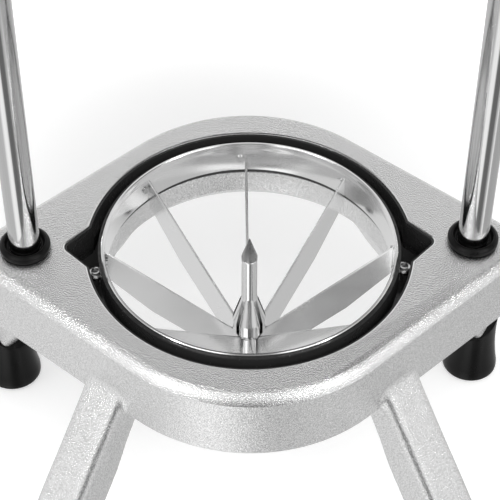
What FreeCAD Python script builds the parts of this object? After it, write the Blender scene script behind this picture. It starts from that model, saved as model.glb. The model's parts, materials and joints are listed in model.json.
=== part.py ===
"""Apple slicer wedger press, a parametric assembly in millimetres.

The press stands on the plane z = 0. Its origin is on the floor under the middle of the
cutting ring, +Z is up, the two guide rods stand on the X axis and the user is at -Y.
A cast platform on four splayed legs holds a drop-in ring of eight blades round a coring
post. A carriage with a fingered pusher slides on the rods and is drawn at the top of its
stroke.
"""

import FreeCAD, Part
import math
import os

import Sketcher
from FreeCAD import Placement, Rotation, Vector

UP = Vector(0, 0, 1)
WHOLE_TURN = 360.0
BLADES = 8
PITCH = WHOLE_TURN / BLADES
SIDES = {"left": -1, "right": 1}
ENDS = {"front": -1, "rear": 1}
OVERCUT = 1.0
TOLERANCE = 0.01

SIZES = {
    "platform_top": (212.0, "height of the platform's top face above the floor"),
    "platform_depth": (31.0, "depth of the platform's skirt"),
    "rim_width": (14.5, "width of the platform from the seat to its front or rear flank"),
    "flank_shift": (11.8, "distance of a flank's centre from the ring axis"),
    "end_radius": (16.0, "radius of the platform's left and right ends"),
    "end_shift": (2.5, "distance of an end's centre beyond the guide rod's axis"),
    "rim_round": (4.0, "rounding of the platform's upper edge"),
    "bore_gap": (1.5, "gap between the carrier's flange and the wall of its seat"),
    "bore_depth": (16.3, "depth of that seat"),
    "ledge_gap": (0.3, "gap between the band and the opening under the seat's ledge"),
    "ledge_thickness": (10.2, "height of the straight wall under the ledge"),
    "relief_flare": (3.2, "widening of that opening at the underside"),
    "ear_reach": (9.4, "distance of an ear pocket's sharp tip beyond the seat's wall"),
    "ear_overlap": (7.9, "distance of an ear pocket's back edge inside that wall"),
    "ear_half_width": (18.2, "half width of an ear pocket at its back edge"),
    "ear_round": (3.5, "rounding of an ear pocket's tip"),
    "liner_wall": (0.8, "wall of the black liner in the seat"),
    "liner_drop": (0.5, "depth of the liner's top edge below the platform"),
    "leg_inset_x": (11.5, "place of a leg's axis along X at the underside, inside the seat's wall"),
    "leg_inset_y": (16.7, "place of a leg's axis along Y there, inside the seat's wall"),
    "leg_width": (19.4, "leg section across its splay"),
    "leg_thickness": (19.6, "leg section along its splay"),
    "leg_round": (3.0, "rounding of a leg's long edges"),
    "leg_cover": (0.6, "height of platform left above a leg's hidden upper end"),
    "foot_x": (118.0, "place of a foot along X"),
    "foot_y": (117.2, "place of a foot along Y"),
    "foot_height": (36.0, "height at which a leg's axis meets its foot's axis"),
    "foot_radius": (13.8, "radius of a foot's lip near the floor"),
    "foot_neck": (11.3, "radius of a foot's neck"),
    "foot_lip": (6.0, "height of a foot's lip"),
    "foot_flare": (12.0, "height over which a foot narrows from its lip to its neck"),
    "foot_edge": (2.2, "chamfer of a foot's bottom edge"),
    "peg_radius": (6.5, "radius of the peg at a leg's lower end"),
    "peg_length": (20.0, "length of that peg"),
    "rod_wall": (13.7, "distance of a guide rod's axis from the ear pocket's sharp tip"),
    "rod_radius": (6.0, "radius of a guide rod"),
    "rod_chamfer": (1.0, "chamfer of a guide rod's upper end"),
    "stud_radius": (4.0, "radius of the stud under a rod"),
    "stud_length": (11.0, "length of that stud"),
    "washer_radius": (8.5, "radius of a rod's lower washer"),
    "washer_thickness": (1.6, "thickness of that washer"),
    "nut_across": (13.0, "width across the flats of a rod's nut"),
    "nut_height": (6.5, "height of a rod's nut"),
    "bumper_radius": (9.8, "radius of the rubber bumper round a rod"),
    "bumper_height": (3.2, "height of that bumper"),
    "bumper_round": (0.9, "chamfer of a bumper's outer edges"),
    "bumper_mouth": (7.9, "radius of the dished mouth of a bumper"),
    "bumper_dish": (0.7, "narrowing of that mouth down to its floor"),
    "bumper_gap": (0.15, "gap between a bumper and its rod"),
    "bumper_seat": (1.3, "height of the dish's floor above the platform"),
    "travel": (190.0, "stroke of the carriage"),
    "stop_gap": (0.3, "gap between a sleeve and the stop that it meets"),
    "sleeve_radius": (13.5, "radius of a guide sleeve"),
    "sleeve_length": (46.0, "length of a guide sleeve"),
    "bushing_radius": (8.5, "outer radius of a bushing"),
    "running_gap": (0.06, "radial clearance between a bushing and its rod"),
    "buffer_radius": (9.5, "radius of the rubber buffer under a rod cap"),
    "buffer_height": (4.0, "height of that buffer"),
    "cap_radius": (8.5, "radius of a rod cap"),
    "cap_height": (15.0, "height of a rod cap"),
    "cap_wall": (4.0, "thickness of metal above the rod in a cap"),
    "cap_crown": (3.0, "chamfer of a cap's crown"),
    "band_radius": (57.0, "outer radius of the stainless band"),
    "band_wall": (1.2, "wall of the stainless band"),
    "band_height": (0.6, "height of the band's rim above the platform"),
    "band_depth": (14.3, "depth of the band's lower edge below the platform"),
    "carrier_wall": (1.2, "wall of the black carrier round the band"),
    "carrier_drop": (0.7, "depth of the carrier's top below the platform"),
    "flange_lip": (3.2, "width of the carrier's foot flange beyond its wall"),
    "carrier_flange_height": (3.0, "thickness of that flange"),
    "lug_setback": (2.6, "distance from a lug's tip to its ear pocket's tip"),
    "seat_gap": (0.2, "gap between the cartridge and the ledge"),
    "screw_head": (2.3, "radius of a carrier screw's head"),
    "screw_head_height": (2.0, "height of that head"),
    "screw_gap": (2.3, "distance of a carrier screw's axis from the carrier's wall along X"),
    "screw_y": (7.2, "place of a carrier screw along Y, towards the user"),
    "screw_post": (2.4, "radius of the post under a carrier screw"),
    "screw_post_height": (5.0, "height of that post above the flange"),
    "blade_thickness": (1.0, "thickness of a blade"),
    "blade_height": (19.0, "upright height of a blade"),
    "blade_outer_drop": (3.0, "depth of a blade's edge at the band"),
    "blade_inner_drop": (52.3, "depth of a blade's edge at the coring post"),
    "blade_inner_radius": (2.8, "distance of a blade's inner end from the axis"),
    "blade_gap": (0.05, "gap between a blade's outer end and the band"),
    "rivet_radius": (1.5, "radius of a blade rivet's head"),
    "rivet_height": (0.9, "height of that head"),
    "rivet_drop": (7.0, "depth of a rivet below the platform"),
    "rivet_side": (2.3, "distance of a rivet from its blade's middle plane"),
    "post_radius": (3.13, "radius of the coring post"),
    "post_top_drop": (10.6, "depth of the coring post's shoulder"),
    "post_flare_drop": (29.5, "depth at which the post starts to flare"),
    "hub_radius": (6.7, "radius of the slotted hub"),
    "hub_drop": (42.0, "depth at which the hub reaches its radius"),
    "hub_length": (5.5, "length of the hub's full-radius part"),
    "hub_taper": (4.5, "length of the taper under it"),
    "tail_radius": (4.6, "radius of the hub's tail"),
    "tail_drop": (73.0, "depth of the tail's lower end"),
    "slot_width": (1.6, "width of a hub slot"),
    "slot_drop": (30.5, "depth of a slot's upper end"),
    "slot_core": (2.6, "radius of the solid core between the slots"),
    "tip_height": (2.5, "height of the spike's point above the platform"),
    "tip_radius": (0.2, "radius of that point"),
    "plate_gap": (20.0, "height of the pusher plate over the platform at the bottom"),
    "plate_thickness": (8.0, "thickness of the pusher plate"),
    "pusher_gap": (5.3, "gap between the pusher and the band"),
    "pusher_core": (9.0, "radius of the hollow that clears the coring post"),
    "pusher_reach": (24.0, "depth that a finger's rim reaches at the bottom"),
    "pusher_cone": (38.8, "height of the cone cut across the fingers"),
    "finger_gap": (4.4, "width of the gaps that pass over the blades"),
    "bar_width": (24.0, "width of the carriage's crossbar"),
    "bar_height": (18.0, "height of the carriage's crossbar"),
    "saddle_radius": (35.0, "radius of the carriage's middle plate"),
    "saddle_height": (10.0, "height of that plate"),
    "screw_circle_x": (18.0, "place of a pusher screw along X"),
    "screw_circle_y": (23.0, "place of a pusher screw along Y"),
    "bolt_radius": (2.5, "radius of a pusher screw"),
    "bolt_head": (4.5, "radius of a pusher screw's head"),
    "bolt_head_height": (3.5, "height of that head"),
    "bolt_bite": (6.0, "depth that a pusher screw bites into the plate"),
    "boss_radius": (10.0, "radius of the boss that takes a handle bar"),
    "boss_length": (26.0, "length of that boss from the rod's axis"),
    "handle_radius": (6.0, "radius of a handle bar"),
    "handle_grip_length": (104.0, "length of a handle's grip"),
    "handle_socket": (11.0, "depth of a handle bar in its boss"),
    "grip_radius": (14.0, "radius of a grip at its belly"),
    "grip_waist": (11.5, "radius of a grip at its two necks"),
    "grip_collar": (15.5, "radius of a grip's hand guard"),
    "grip_guard": (4.0, "thickness of that guard"),
    "grip_slope": (6.0, "length over which the guard runs down to the inner neck"),
    "grip_belly": (47.0, "distance of a grip's belly from its guard's face"),
    "grip_tail": (15.5, "distance of a grip's outer neck from its end"),
    "grip_knob": (13.0, "radius of the knob at a grip's end"),
    "grip_knob_length": (6.0, "length of that knob"),
    "grip_knob_round": (2.0, "chamfer of that knob"),
    "grip_end": (5.0, "thickness of rubber over a bar's end"),
    "jam_nut_across": (19.0, "width across the flats of a handle's jam nut"),
    "jam_nut_height": (6.0, "height of a handle's jam nut"),
}


class Size:
    """A number with the formula that it came from, so that a shape can be bound to it."""

    def __init__(self, value, text):
        self.value = value
        self.text = text

    def joined(self, sign, other, value):
        return Size(value, f"({self.text} {sign} {as_size(other).text})")

    def __add__(self, other):
        return self.joined("+", other, self.value + as_size(other).value)

    def __sub__(self, other):
        return self.joined("-", other, self.value - as_size(other).value)

    def __mul__(self, other):
        return self.joined("*", other, self.value * as_size(other).value)

    def __truediv__(self, other):
        return self.joined("/", other, self.value / as_size(other).value)

    def __neg__(self):
        return Size(-self.value, f"(0 - {self.text})")


def as_size(number):
    return number if isinstance(number, Size) else Size(float(number), repr(float(number)))


class Sizes:
    """Every cell of the sheet as an attribute."""

    def __init__(self):
        for alias, (value, _) in SIZES.items():
            setattr(self, alias, Size(value, f"Sizes.{alias}"))


S = Sizes()
doc = FreeCAD.newDocument("ApplePress")
nodes = {}

band_inner = S.band_radius - S.band_wall
carrier_radius = S.band_radius + S.carrier_wall
flange_radius = carrier_radius + S.flange_lip
bore_radius = flange_radius + S.bore_gap
ledge_radius = S.band_radius + S.ledge_gap
relief_radius = ledge_radius + S.relief_flare
ear_tip = bore_radius + S.ear_reach
ear_root = bore_radius - S.ear_overlap
rod_offset = ear_tip + S.rod_wall
end_offset = rod_offset + S.end_shift
flank_radius = bore_radius + S.rim_width - S.flank_shift
leg_top_x = bore_radius - S.leg_inset_x
leg_top_y = bore_radius - S.leg_inset_y
screw_x = carrier_radius + S.screw_gap
pusher_radius = band_inner - S.pusher_gap

underside = S.platform_top - S.platform_depth
seat_floor = S.platform_top - S.bore_depth
cartridge_floor = seat_floor + S.seat_gap
plate_bottom = S.platform_top + S.plate_gap + S.travel
plate_top = plate_bottom + S.plate_thickness
saddle_top = plate_top + S.saddle_height
sleeve_bottom = S.platform_top + S.bumper_height + S.travel + S.stop_gap
sleeve_top = sleeve_bottom + S.sleeve_length
buffer_bottom = sleeve_top + S.stop_gap
cap_bottom = buffer_bottom + S.buffer_height
rod_top = cap_bottom + S.cap_height - S.cap_wall


def fill_sheet():
    """Write every driving dimension into the sheet, with its name and its meaning."""
    sheet = doc.addObject("Spreadsheet::Sheet", "Sizes")
    for row, (alias, (value, meaning)) in enumerate(SIZES.items(), 1):
        sheet.set(f"A{row}", alias)
        sheet.set(f"B{row}", str(value))
        sheet.set(f"C{row}", meaning)
        sheet.setAlias(f"B{row}", alias)
    doc.recompute()


def keep(item, node):
    """Name a finished sub-part, so that it is written out."""
    item.Label = node
    nodes[node] = item
    return item


def bind(item, **sizes):
    for name, size in sizes.items():
        item.setExpression(name, as_size(size).text)


def place(item, x=0, y=0, z=0):
    bind(item, **{"Placement.Base.x": x, "Placement.Base.y": y, "Placement.Base.z": z})
    return item


def cylinder(name, radius, height, x=0, y=0, z=0):
    item = doc.addObject("Part::Cylinder", name)
    bind(item, Radius=radius, Height=height)
    return place(item, x, y, z)


def cone(name, low_radius, high_radius, height, x=0, y=0, z=0):
    item = doc.addObject("Part::Cone", name)
    bind(item, Radius1=low_radius, Radius2=high_radius, Height=height)
    return place(item, x, y, z)


def box(name, length, width, height, x=0, y=0, z=0):
    item = doc.addObject("Part::Box", name)
    bind(item, Length=length, Width=width, Height=height)
    return place(item, x, y, z)


def lying(item, side):
    """Turn an item about Y, so that its height runs outwards along X on that side."""
    item.Placement = Placement(item.Placement.Base, Rotation(Vector(0, 1, 0), 90 * side))
    return item


def fuse(name, *items):
    joined = doc.addObject("Part::MultiFuse", name)
    joined.Shapes = list(items)
    joined.Refine = True
    return joined


def cut(name, base, *tools):
    tool = tools[0] if len(tools) == 1 else fuse(name + "Tools", *tools)
    result = doc.addObject("Part::Cut", name)
    result.Base = base
    result.Tool = tool
    return result


def group(name, items):
    bundle = doc.addObject("Part::Compound", name)
    bundle.Links = items
    return bundle


def solid(name, shape):
    item = doc.addObject("Part::Feature", name)
    item.Shape = shape
    return item


def rounded(name, base, radius, wanted):
    """Round the edges of a base that the test picks."""
    doc.recompute()
    edges = [n for n, edge in enumerate(base.Shape.Edges, 1) if wanted(edge)]
    result = doc.addObject("Part::Fillet", name)
    result.Base = base
    result.Edges = [(n, radius.value, radius.value) for n in edges]
    return result


def pinned(sketch, line, point):
    """Fix the start of a line at a point, each coordinate bound to its size."""
    for kind, axis, size in (("DistanceX", -2, point[0]), ("DistanceY", -1, point[1])):
        size = as_size(size)
        if size.value == 0:
            sketch.addConstraint(Sketcher.Constraint("PointOnObject", line, 1, axis))
        else:
            held = Sketcher.Constraint(kind, -1, 1, line, 1, size.value)
            sketch.setExpression(f"Constraints[{sketch.addConstraint(held)}]", size.text)


def draw_polygon(sketch, points):
    """Draw a closed polygon whose corners are bound to sizes."""
    corners = [Vector(as_size(x).value, as_size(y).value, 0) for x, y in points]
    for n, corner in enumerate(corners):
        sketch.addGeometry(Part.LineSegment(corner, corners[(n + 1) % len(corners)]))
    for n in range(len(corners)):
        after = (n + 1) % len(corners)
        sketch.addConstraint(Sketcher.Constraint("Coincident", n, 2, after, 1))
    for n, point in enumerate(points):
        pinned(sketch, n, point)


def turned(name, profile, x=0, y=0):
    """Turn a closed profile of (radius, height) points about the upright axis at x, y."""
    body = doc.addObject("PartDesign::Body", name)
    plane = next(f for f in body.Origin.OriginFeatures if f.Role == "XZ_Plane")
    sketch = body.newObject("Sketcher::SketchObject", name + "Profile")
    sketch.AttachmentSupport = [(plane, "")]
    sketch.MapMode = "FlatFace"
    draw_polygon(sketch, profile)
    turn = body.newObject("PartDesign::Revolution", name + "Turn")
    turn.Profile = sketch
    turn.ReferenceAxis = (sketch, ["V_Axis"])
    turn.Angle = WHOLE_TURN
    return place(body, x, y)


def prism(name, points, height, z):
    """Raise a polygon in the ground plane from height z."""
    sketch = doc.addObject("Sketcher::SketchObject", name + "Outline")
    draw_polygon(sketch, points)
    place(sketch, z=z)
    item = doc.addObject("Part::Extrusion", name)
    item.Base = sketch
    item.DirMode = "Normal"
    item.Solid = True
    bind(item, LengthFwd=height)
    return item


def hexagon(name, across, hole, height, x=0, y=0, z=0):
    """A hexagonal nut with a plain hole."""
    nut = doc.addObject("Part::Prism", name + "Hex")
    nut.Polygon = 6
    bind(nut, Circumradius=across / math.sqrt(3), Height=height)
    place(nut, x, y, z)
    hollow = cylinder(name + "Hole", hole, height + 2 * OVERCUT, x, y, z - OVERCUT)
    return cut(name, nut, hollow)


def outline_sketch(name):
    """The platform's outline: two flanks and two ends, joined by tangent lines."""
    sketch = doc.addObject("Sketcher::SketchObject", name)
    span = math.hypot(end_offset.value, S.flank_shift.value)
    lean = math.acos((flank_radius.value - S.end_radius.value) / span)
    turn = lean - math.atan2(S.flank_shift.value, end_offset.value)
    arcs = (
        (Vector(end_offset.value, 0, 0), S.end_radius.value, -turn, turn),
        (Vector(0, S.flank_shift.value, 0), flank_radius.value, turn, math.pi - turn),
        (Vector(-end_offset.value, 0, 0), S.end_radius.value, math.pi - turn, math.pi + turn),
        (Vector(0, -S.flank_shift.value, 0), flank_radius.value, math.pi + turn, 2 * math.pi - turn),
    )
    for centre, radius, start, end in arcs:
        sketch.addGeometry(Part.ArcOfCircle(Part.Circle(centre, UP, radius), start, end))
    curves = list(sketch.Geometry)
    for n, curve in enumerate(curves):
        following = curves[(n + 1) % len(curves)]
        sketch.addGeometry(Part.LineSegment(curve.EndPoint, following.StartPoint))
    for n in range(4):
        sketch.addConstraint(Sketcher.Constraint("Tangent", n, 2, 4 + n, 1))
        sketch.addConstraint(Sketcher.Constraint("Tangent", 4 + n, 2, (n + 1) % 4, 1))
    held = (
        (Sketcher.Constraint("Radius", 0, S.end_radius.value), S.end_radius),
        (Sketcher.Constraint("Radius", 1, flank_radius.value), flank_radius),
        (Sketcher.Constraint("DistanceX", -1, 1, 0, 3, end_offset.value), end_offset),
        (Sketcher.Constraint("DistanceY", -1, 1, 1, 3, S.flank_shift.value), S.flank_shift),
    )
    for constraint, size in held:
        sketch.setExpression(f"Constraints[{sketch.addConstraint(constraint)}]", size.text)
    sketch.addConstraint(Sketcher.Constraint("Equal", 0, 2))
    sketch.addConstraint(Sketcher.Constraint("Equal", 1, 3))
    sketch.addConstraint(Sketcher.Constraint("PointOnObject", 0, 3, -1))
    sketch.addConstraint(Sketcher.Constraint("PointOnObject", 1, 3, -2))
    sketch.addConstraint(Sketcher.Constraint("Symmetric", 0, 3, 2, 3, -1, 1))
    sketch.addConstraint(Sketcher.Constraint("Symmetric", 1, 3, 3, 3, -1, 1))
    return sketch


def seat_tool(name, wall, floor, top):
    """The round seat with its two ear pockets, all of it smaller by a wall."""
    height = top - floor
    parts = [cylinder(name + "Round", bore_radius - wall, height, z=floor)]
    slope = S.ear_half_width / (ear_tip - ear_root)
    # The tip moves back by the wall over the sine of half the tip's angle.
    half_angle = math.atan(S.ear_half_width.value / (ear_tip.value - ear_root.value))
    setback = wall / math.sin(half_angle)
    tip_round = as_size(S.ear_round - wall)
    for side_name, side in SIDES.items():
        tip = (ear_tip - setback) * side
        root = ear_root * side
        half = S.ear_half_width - slope * setback
        ear = prism(f"{name}Ear{side_name}", [(tip, 0), (root, half), (root, -half)], height, floor)
        reach = abs(tip.value) - OVERCUT
        parts.append(
            rounded(f"{name}Round{side_name}", ear, tip_round, lambda edge: upright_beyond(edge, reach))
        )
    return fuse(name, *parts)


def upright_beyond(edge, x):
    """Tell whether an edge is upright and lies further out along X than a given place."""
    box_ = edge.BoundBox
    upright = box_.ZLength > OVERCUT and box_.XLength < TOLERANCE
    return upright and abs(box_.Center.x) > x


def build_platform():
    """The cast platform: a round-cornered block with the cartridge's seat and rod holes."""
    sketch = place(outline_sketch("PlatformOutline"), z=underside)
    block = doc.addObject("Part::Extrusion", "PlatformBlock")
    block.Base = sketch
    block.DirMode = "Normal"
    block.Solid = True
    bind(block, LengthFwd=S.platform_depth)
    top = S.platform_top.value
    soft = rounded("PlatformSoft", block, S.rim_round, lambda edge: edge.BoundBox.ZMin > top - TOLERANCE)
    relief_height = S.platform_depth - S.bore_depth - S.ledge_thickness
    tools = [
        seat_tool("Seat", 0.0, seat_floor, S.platform_top + OVERCUT),
        cylinder("LedgeHole", ledge_radius, S.platform_depth + OVERCUT, z=underside - OVERCUT / 2),
        cone("Relief", relief_radius, ledge_radius, relief_height, z=underside),
    ]
    for side_name, side in SIDES.items():
        tools.append(
            cylinder(
                f"RodHole{side_name}",
                S.rod_radius,
                S.platform_depth + 2 * OVERCUT,
                rod_offset * side,
                0,
                underside - OVERCUT,
            )
        )
    keep(cut("PlatformCasting", soft, *tools), "platform_casting")
    return block


def build_liner():
    outer = seat_tool("LinerOuter", 0.0, seat_floor, S.platform_top - S.liner_drop)
    inner = seat_tool("LinerInner", S.liner_wall, seat_floor - OVERCUT, S.platform_top + OVERCUT)
    keep(cut("BoreLiner", outer, inner), "bore_liner")


def leg_frame(side, end):
    """The two ends of a leg's axis and the turn that lays an upright bar along it."""
    top = Vector(side * leg_top_x.value, end * leg_top_y.value, underside.value)
    foot = Vector(side * S.foot_x.value, end * S.foot_y.value, S.foot_height.value)
    along = (top - foot).normalize()
    across = UP.cross(along).normalize()
    return top, foot, Rotation(across, along.cross(across), along, "ZXY")


def bar_on_axis(foot, turn, width, depth, length, radius=0.0):
    bar = Part.makeBox(width, depth, length, Vector(-width / 2, -depth / 2, 0))
    if radius:
        bar = bar.makeFillet(radius, [e for e in bar.Edges if e.BoundBox.ZLength > length / 2])
    bar.Placement = Placement(foot, turn)
    return bar


def upright_peg(foot):
    """The peg stands upright in its foot and runs a little way up into the leg."""
    length = S.peg_length.value + S.peg_radius.value
    return Part.makeCylinder(S.peg_radius.value, length, foot - UP * S.peg_length.value)


def build_legs(block):
    """Four cast legs that merge into the skirt, each with a round peg for its foot."""
    doc.recompute()
    for end_name, end in ENDS.items():
        for side_name, side in SIDES.items():
            top, foot, turn = leg_frame(side, end)
            axis = top - foot
            lean = math.acos(axis.z / axis.Length)
            hidden = (S.platform_depth - S.leg_cover).value - S.leg_thickness.value / 2 * math.sin(lean)
            length = axis.Length + hidden / math.cos(lean)
            bar = bar_on_axis(
                foot, turn, S.leg_width.value, S.leg_thickness.value, length, S.leg_round.value
            )
            shape = bar.fuse(upright_peg(foot)).cut(block.Shape).removeSplitter()
            leg = max(shape.Solids, key=lambda piece: piece.Volume)
            keep(solid(f"Leg{end_name}{side_name}", leg), f"leg_{end_name}_{side_name}")


def build_feet():
    """Four rubber feet: turned upright, cut off square to the leg and bored for its peg."""
    height = S.foot_height + S.foot_neck
    profile = [
        (0, 0),
        (S.foot_radius - S.foot_edge, 0),
        (S.foot_radius, S.foot_edge),
        (S.foot_radius, S.foot_lip),
        (S.foot_neck, S.foot_lip + S.foot_flare),
        (S.foot_neck, height),
        (0, height),
    ]
    # The room above a foot only has to be wider than the foot.
    wide = 4 * S.foot_radius.value
    for end_name, end in ENDS.items():
        for side_name, side in SIDES.items():
            name = f"Foot{end_name}{side_name}"
            _, foot, turn = leg_frame(side, end)
            upright = turned(name + "Body", profile, S.foot_x * side, S.foot_y * end)
            room = bar_on_axis(foot, turn, wide, wide, wide)
            space = solid(name + "Room", room.fuse(upright_peg(foot)))
            keep(cut(name, upright, space), f"foot_{end_name}_{side_name}")


def build_rods():
    """Guide rods with their bumpers, lower nuts, buffers and caps."""
    washers = []
    nuts = []
    for side_name, side in SIDES.items():
        x = rod_offset * side
        rod = [
            (0, underside - S.stud_length),
            (S.stud_radius, underside - S.stud_length),
            (S.stud_radius, underside),
            (S.rod_radius, underside),
            (S.rod_radius, rod_top - S.rod_chamfer),
            (S.rod_radius - S.rod_chamfer, rod_top),
            (0, rod_top),
        ]
        keep(turned(f"Rod{side_name}", rod, x), f"guide_rod_{side_name}")
        inner = S.rod_radius + S.bumper_gap
        top = S.platform_top + S.bumper_height
        bumper = [
            (inner, S.platform_top),
            (S.bumper_radius - S.bumper_round, S.platform_top),
            (S.bumper_radius, S.platform_top + S.bumper_round),
            (S.bumper_radius, top - S.bumper_round),
            (S.bumper_radius - S.bumper_round, top),
            (S.bumper_mouth, top),
            (S.bumper_mouth - S.bumper_dish, S.platform_top + S.bumper_seat),
            (inner, S.platform_top + S.bumper_seat),
        ]
        keep(turned(f"Bumper{side_name}", bumper, x), f"bumper_{side_name}")
        washer_bottom = underside - S.washer_thickness
        washer = cylinder(f"Washer{side_name}", S.washer_radius, S.washer_thickness, x, 0, washer_bottom)
        hole = cylinder(f"WasherHole{side_name}", S.stud_radius, S.washer_thickness, x, 0, washer_bottom)
        washers.append(cut(f"RodWasher{side_name}", washer, hole))
        nut_bottom = washer_bottom - S.nut_height
        nuts.append(
            hexagon(f"RodNut{side_name}", S.nut_across, S.stud_radius, S.nut_height, x, 0, nut_bottom)
        )
        buffer_ = [
            (inner, buffer_bottom),
            (S.buffer_radius, buffer_bottom),
            (S.buffer_radius, cap_bottom),
            (inner, cap_bottom),
        ]
        keep(turned(f"Buffer{side_name}", buffer_, x), f"rod_buffer_{side_name}")
        cap_top = cap_bottom + S.cap_height
        cap = [
            (S.rod_radius, cap_bottom),
            (S.cap_radius, cap_bottom),
            (S.cap_radius, cap_top - S.cap_crown),
            (S.cap_radius - S.cap_crown, cap_top),
            (0, cap_top),
            (0, rod_top),
            (S.rod_radius, rod_top),
        ]
        keep(turned(f"Cap{side_name}", cap, x), f"rod_cap_{side_name}")
    keep(group("RodWashers", washers), "rod_washers")
    keep(group("RodNuts", nuts), "rod_nuts")


def build_cartridge():
    """The drop-in cutting ring: band, black carrier, eight blades and the coring post."""
    band_bottom = S.platform_top - S.band_depth
    band_top = S.platform_top + S.band_height
    band = [
        (band_inner, band_bottom),
        (S.band_radius, band_bottom),
        (S.band_radius, band_top),
        (band_inner, band_top),
    ]
    keep(turned("BladeBand", band), "blade_band")
    flange_top = cartridge_floor + S.carrier_flange_height
    hoop = turned(
        "CarrierHoop",
        [
            (S.band_radius, cartridge_floor),
            (flange_radius, cartridge_floor),
            (flange_radius, flange_top),
            (carrier_radius, flange_top),
            (carrier_radius, S.platform_top - S.carrier_drop),
            (S.band_radius, S.platform_top - S.carrier_drop),
        ],
    )
    slope = S.ear_half_width / (ear_tip - ear_root)
    tip = ear_tip - S.lug_setback
    half = S.ear_half_width - slope * S.lug_setback
    lugs = []
    for side_name, side in SIDES.items():
        points = [(tip * side, 0), (ear_root * side, half), (ear_root * side, -half)]
        lug = prism(f"Lug{side_name}", points, S.carrier_flange_height, cartridge_floor)
        reach = tip.value - OVERCUT
        lugs.append(
            rounded(f"LugSoft{side_name}", lug, S.ear_round, lambda edge: upright_beyond(edge, reach))
        )
    inside = cylinder("CarrierInside", S.band_radius, S.bore_depth, z=cartridge_floor - OVERCUT)
    post_top = flange_top + S.screw_post_height
    screws = []
    for side_name, side in SIDES.items():
        x = screw_x * side
        y = -S.screw_y
        lugs.append(cylinder(f"Post{side_name}", S.screw_post, S.screw_post_height, x, y, flange_top))
        screws.append(
            cylinder(f"CarrierScrew{side_name}", S.screw_head, S.screw_head_height, x, y, post_top)
        )
    lug_pair = cut("LugPair", fuse("Lugs", *lugs), inside)
    keep(fuse("BladeCarrier", hoop, lug_pair), "blade_carrier")
    keep(group("CarrierScrews", screws), "carrier_screws")
    build_blades()
    build_post()


def build_blades():
    """Eight sloping blades, named by the direction they point in, and their rivets."""
    names = ("right", "rear_right", "rear", "rear_left", "left", "front_left", "front", "front_right")
    outer = band_inner - S.blade_gap
    low_edge = S.platform_top - S.blade_height
    points = [
        (S.blade_inner_radius, low_edge - S.blade_inner_drop),
        (outer, low_edge - S.blade_outer_drop),
        (outer, S.platform_top - S.blade_outer_drop),
        (S.blade_inner_radius, S.platform_top - S.blade_inner_drop),
    ]
    rivets = []
    for n, name in enumerate(names):
        turn = Rotation(UP, n * PITCH)
        sketch = doc.addObject("Sketcher::SketchObject", f"BladeOutline{n}")
        draw_polygon(sketch, points)
        sketch.Placement = Placement(Vector(), turn * Rotation(Vector(1, 0, 0), 90))
        blade = doc.addObject("Part::Extrusion", f"Blade{n}")
        blade.Base = sketch
        blade.DirMode = "Normal"
        blade.Solid = True
        blade.Symmetric = True
        bind(blade, LengthFwd=S.blade_thickness)
        keep(blade, f"blade_{name}")
        rivet = doc.addObject("Part::Cylinder", f"Rivet{n}")
        bind(rivet, Radius=S.rivet_radius, Height=S.rivet_height)
        half_chord = math.sqrt(band_inner.value ** 2 - (S.rivet_side.value + S.rivet_radius.value) ** 2)
        start = Vector(half_chord, S.rivet_side.value, S.platform_top.value - S.rivet_drop.value)
        rivet.Placement = Placement(turn.multVec(start), turn * Rotation(Vector(0, 1, 0), -90))
        rivets.append(rivet)
    keep(group("BladeRivets", rivets), "blade_rivets")


def build_post():
    """The coring post with its slotted hub, and the pointed tip above it."""
    hub_bottom = S.platform_top - S.hub_drop - S.hub_length
    tail_bottom = S.platform_top - S.tail_drop
    shoulder = S.platform_top - S.post_top_drop
    profile = [
        (0, tail_bottom),
        (S.tail_radius, tail_bottom),
        (S.tail_radius, hub_bottom - S.hub_taper),
        (S.hub_radius, hub_bottom),
        (S.hub_radius, S.platform_top - S.hub_drop),
        (S.post_radius, S.platform_top - S.post_flare_drop),
        (S.post_radius, shoulder),
        (0, shoulder),
    ]
    slots = []
    slot_height = S.tail_drop - S.slot_drop + OVERCUT
    for n in range(BLADES):
        slot = doc.addObject("Part::Box", f"HubSlot{n}")
        bind(slot, Length=S.hub_radius, Width=S.slot_width, Height=slot_height)
        turn = Rotation(UP, n * PITCH)
        corner = Vector(S.slot_core.value, -S.slot_width.value / 2, tail_bottom.value - OVERCUT)
        slot.Placement = Placement(turn.multVec(corner), turn)
        slots.append(slot)
    keep(cut("CoringPost", turned("PostBody", profile), *slots), "coring_post")
    tip = cone("CoringTip", S.post_radius, S.tip_radius, S.post_top_drop + S.tip_height, z=shoulder)
    keep(tip, "coring_tip")


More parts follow.
